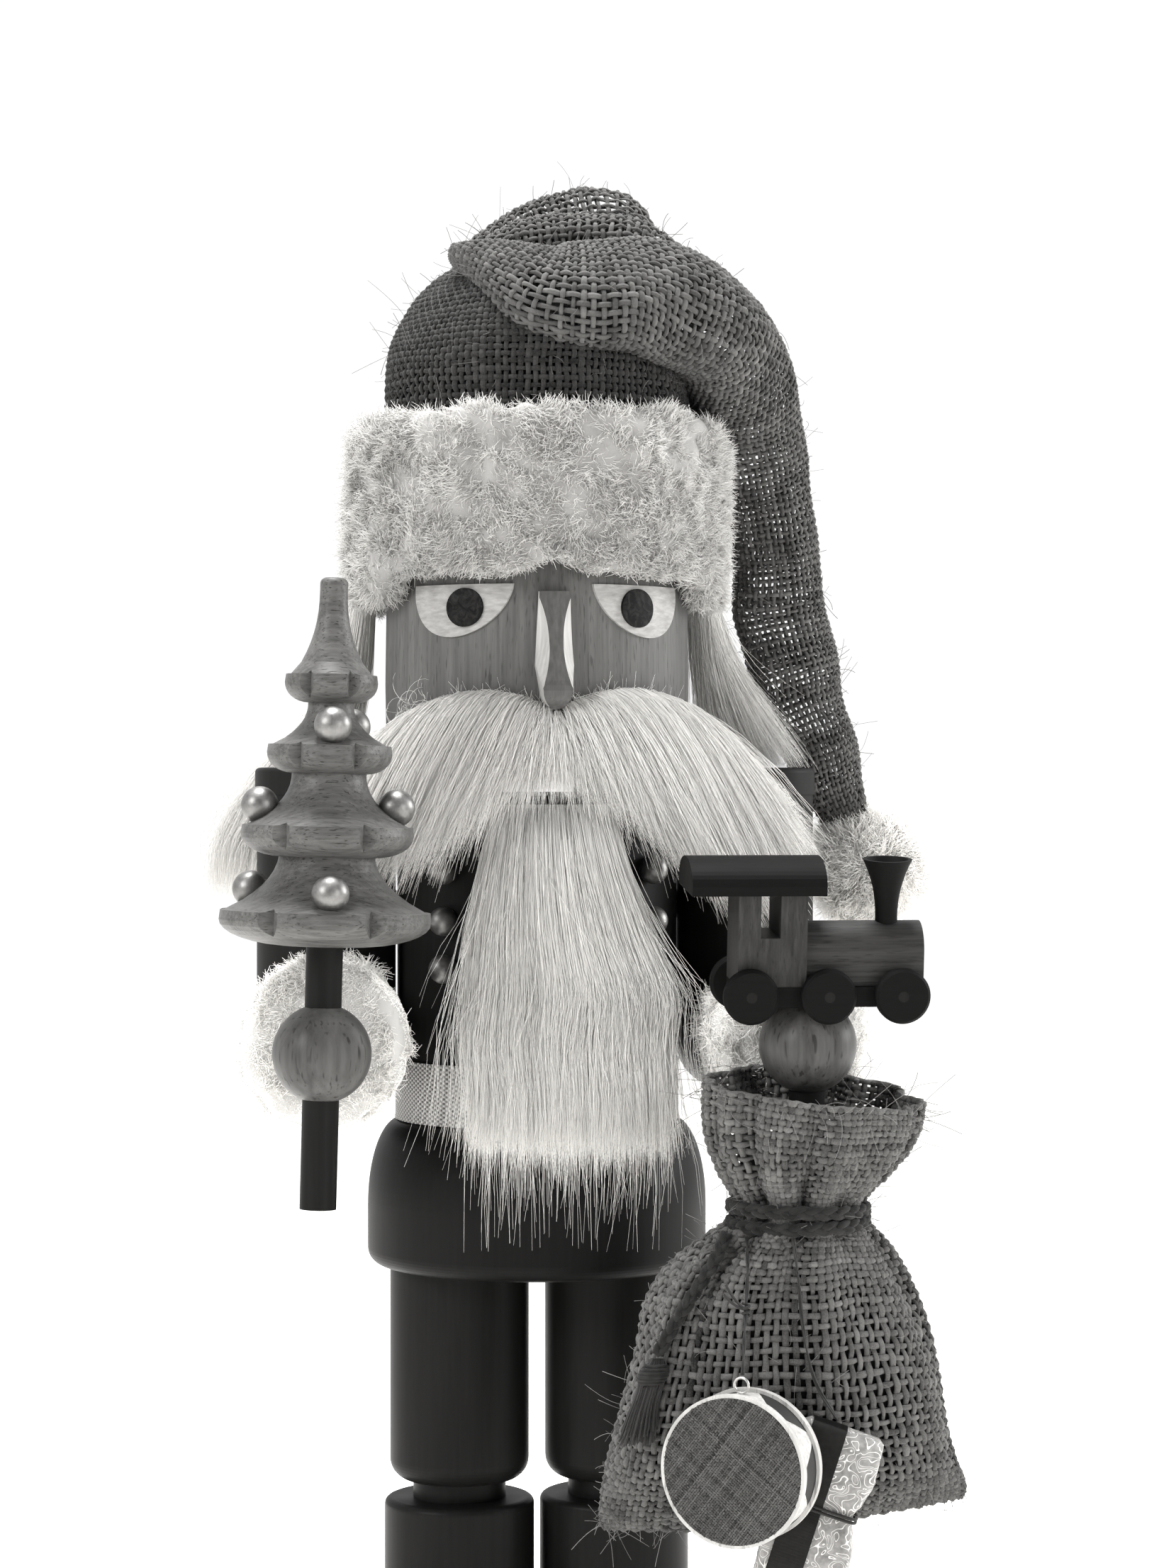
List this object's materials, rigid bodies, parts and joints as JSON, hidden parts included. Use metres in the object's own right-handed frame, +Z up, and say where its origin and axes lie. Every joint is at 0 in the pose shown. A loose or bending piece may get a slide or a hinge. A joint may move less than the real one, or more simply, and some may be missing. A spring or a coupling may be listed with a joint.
{
  "type": "wooden nutcracker figurine",
  "caption": "Turned wooden gnome nutcracker with jaw lever, cloth hat, fur beard, a toy tree in one hand, a toy train and tied sack with ornaments at the other.",
  "frame": {"origin": "middle of the base board's underside, which stands on a table", "axes": "+Z up, -Y is the way the face looks, so +X is the figure's left, the side with the train and sack"},
  "size_m": [0.2087, 0.1873, 0.4338],
  "materials": {
    "dark_paint": "dark satin paint over turned wood",
    "base_paint": "dark satin paint",
    "skirt_paint": "dark satin paint with a soft sheen",
    "face_wood": "stained and waxed wood with visible grain",
    "lever_wood": "dark satin paint",
    "bare_wood": "clear-lacquered wood",
    "tree_wood": "stained turned wood with grain",
    "dowel_wood": "unfinished beech",
    "black_paint": "black satin paint",
    "eye_white": "white enamel",
    "eye_black": "black gloss enamel",
    "white_fur": "long-haired white fur and plush",
    "burlap": "open plain-weave jute",
    "belt_ribbon": "coarse woven ribbon",
    "braid_cord": "braided matt cord",
    "thread": "black sewing thread",
    "metallic_bead": "beads with metallic paint",
    "steel": "plain wire",
    "drum_card": "light painted card with dark triangles",
    "drum_cloth": "fine ribbed cloth",
    "gift_paper": "light wrapping paper with pale line pattern",
    "gift_ribbon": "wide dark ribbon"
  },
  "bodies": {
    "root": {"base_board": "base_paint", "right_boot": "dark_paint", "left_boot": "dark_paint", "right_leg": "dark_paint", "left_leg": "dark_paint", "leg_dowels": "dowel_wood", "skirt": "skirt_paint", "body_dowel": "dowel_wood", "torso": "dark_paint", "belt": "belt_ribbon", "coat_buttons": "metallic_bead", "lever_pin": "steel", "head": "face_wood", "head_dowels": "dowel_wood", "nose": "face_wood", "eye_whites": "eye_white", "pupils": "eye_black", "moustache": "white_fur", "back_hair": "white_fur", "right_hair": "white_fur", "left_hair": "white_fur", "hat": "burlap", "fur_band": "white_fur", "pompom": "white_fur", "shoulder_caps": "dark_paint", "shoulder_dowels": "dowel_wood", "right_arm": "dark_paint", "left_arm": "dark_paint", "right_forearm": "dark_paint", "left_forearm": "dark_paint", "right_cuff": "white_fur", "left_cuff": "white_fur", "right_hand": "bare_wood", "left_hand": "bare_wood", "tree_stick": "black_paint", "tree": "tree_wood", "tree_beads": "metallic_bead", "train_stick": "black_paint", "train_chassis": "black_paint", "train_axles": "dowel_wood", "train_wheels": "black_paint", "train_cab": "bare_wood", "train_roof": "black_paint", "train_boiler": "bare_wood", "train_chimney": "black_paint", "sack": "burlap", "sack_tie": "braid_cord", "sack_braid": "braid_cord", "sack_tassel": "braid_cord"},
    "jaw": {"jaw_lever": "lever_wood"},
    "beard": {"beard": "white_fur"},
    "drum": {"drum_shell": "drum_card", "drum_heads": "drum_cloth", "drum_hoops": "drum_card", "drum_eye": "steel", "drum_thread": "thread"},
    "gift": {"gift_parcel": "gift_paper", "gift_ribbon": "gift_ribbon", "gift_thread": "thread"}
  },
  "joints": [
    {"name": "jaw_hinge", "type": "hinge", "parent": "root", "child": "jaw", "pos_m": [0, 0, 0.245], "axis": [1, 0, 0], "range_deg": [0, 30]},
    {"name": "beard_hang", "type": "hinge", "parent": "jaw", "child": "beard", "pos_m": [0, -0.0425, 0.25], "axis": [1, 0, 0], "range_deg": [-30, 0]},
    {"name": "drum_swing", "type": "hinge", "parent": "root", "child": "drum", "pos_m": [0.045, -0.0884, 0.147], "axis": [-1, 0, 0], "range_deg": [0, 40]},
    {"name": "gift_swing", "type": "hinge", "parent": "root", "child": "gift", "pos_m": [0.056, -0.0956, 0.147], "axis": [-0.5151, -0.8571, 0], "range_deg": [0, 35]}
  ],
  "couplings": [
    {"joint": "beard_hang", "follows": "jaw_hinge", "ratio": -1}
  ]
}
